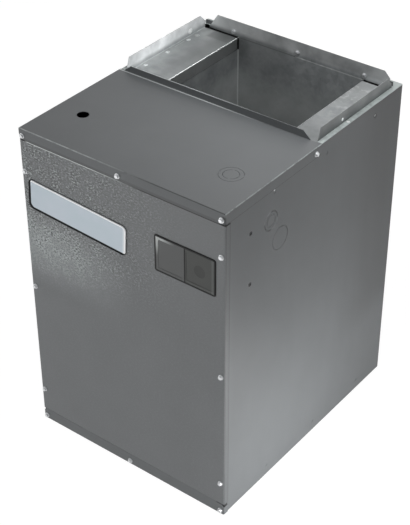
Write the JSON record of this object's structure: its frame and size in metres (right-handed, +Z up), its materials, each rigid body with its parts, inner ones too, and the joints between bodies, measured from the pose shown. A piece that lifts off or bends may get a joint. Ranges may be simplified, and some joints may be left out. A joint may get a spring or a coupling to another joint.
{
  "type": "air handler",
  "caption": "Up-flow blower cabinet of painted sheet steel, with a removable front panel, a plain top panel, galvanised duct flanges and a double-inlet blower inside.",
  "frame": {"origin": "centre of the base, on the floor", "axes": "+Z up, +Y from the front panel to the back, +X to the right seen from the front"},
  "size_m": [0.4532, 0.5378, 0.6858],
  "materials": {
    "painted_steel": "satin grey enamel on sheet steel",
    "pebbled_paint": "grey enamel with a pebbled grain",
    "galvanised": "galvanised sheet with faint spangle",
    "zinc_screw": "bright zinc plating",
    "bare_steel": "turned steel",
    "motor_paint": "black motor enamel",
    "winding": "laminations and varnished winding",
    "black_plastic": "moulded, fine grain",
    "blank_plastic": "moulded, soft gloss",
    "white_plastic": "moulded nylon",
    "circuit_board": "solder mask",
    "core_steel": "varnished laminations",
    "wire_sleeve": "ribbed sleeve over wires",
    "black_rubber": "matte",
    "badge_metal": "bare brushed plate with bright rim",
    "insulation": "matte fibre blanket"
  },
  "bodies": {
    "cabinet": {"cabinet_wrapper": "painted_steel", "top_panel": "painted_steel", "front_header_rail": "galvanised", "bottom_front_rail": "painted_steel", "base_cross_rail": "galvanised", "duct_flange_left": "galvanised", "duct_flange_right": "galvanised", "duct_flange_back": "galvanised", "plenum_wall_left": "galvanised", "plenum_wall_right": "galvanised", "plenum_front_wall": "galvanised", "heater_cover_plate": "galvanised", "blower_deck": "galvanised", "blower_rail_left": "galvanised", "blower_rail_right": "galvanised", "housing_side_left": "galvanised", "housing_side_right": "galvanised", "scroll_wrap": "galvanised", "cutoff_plate": "galvanised", "inlet_ring_left": "galvanised", "inlet_ring_right": "galvanised", "motor_shell": "motor_paint", "motor_end_bell": "motor_paint", "motor_stator": "winding", "motor_bearings": "bare_steel", "motor_control_module": "black_plastic", "motor_band": "galvanised", "motor_legs": "galvanised", "motor_grommets": "black_rubber", "insulation_left": "insulation", "insulation_right": "insulation", "insulation_back": "insulation", "control_bracket": "galvanised", "control_board": "circuit_board", "board_standoffs": "white_plastic", "transformer": "core_steel", "terminal_strip": "black_plastic", "motor_harness": "wire_sleeve", "harness_grommet": "black_rubber", "top_panel_screws": "zinc_screw", "bottom_rail_screws": "zinc_screw", "duct_flange_screws": "zinc_screw", "heater_cover_screws": "zinc_screw", "blower_screws": "zinc_screw", "control_screws": "zinc_screw"},
    "access_panel": {"front_panel": "pebbled_paint", "front_panel_screws": "zinc_screw", "panel_insulation": "insulation", "badge_gasket": "black_rubber", "badge_plate": "badge_metal", "breaker_bezel": "black_plastic", "breaker_blank_left": "blank_plastic", "breaker_blank_right": "blank_plastic"},
    "rotor": {"blade_cage_left": "galvanised", "blade_cage_right": "galvanised", "wheel_disc": "galvanised", "wheel_hub": "bare_steel", "hub_set_screw": "bare_steel", "motor_shaft": "bare_steel", "motor_rotor": "bare_steel"}
  },
  "joints": [
    {"name": "wheel_spin", "type": "hinge", "parent": "cabinet", "child": "rotor", "pos_m": [0.009, 0.026, 0.255], "axis": [1, 0, 0], "continuous": true},
    {"name": "front_panel_removal", "type": "slide", "parent": "cabinet", "child": "access_panel", "axis": [0, -1, 0], "range_m": [0, 0.2]}
  ]
}
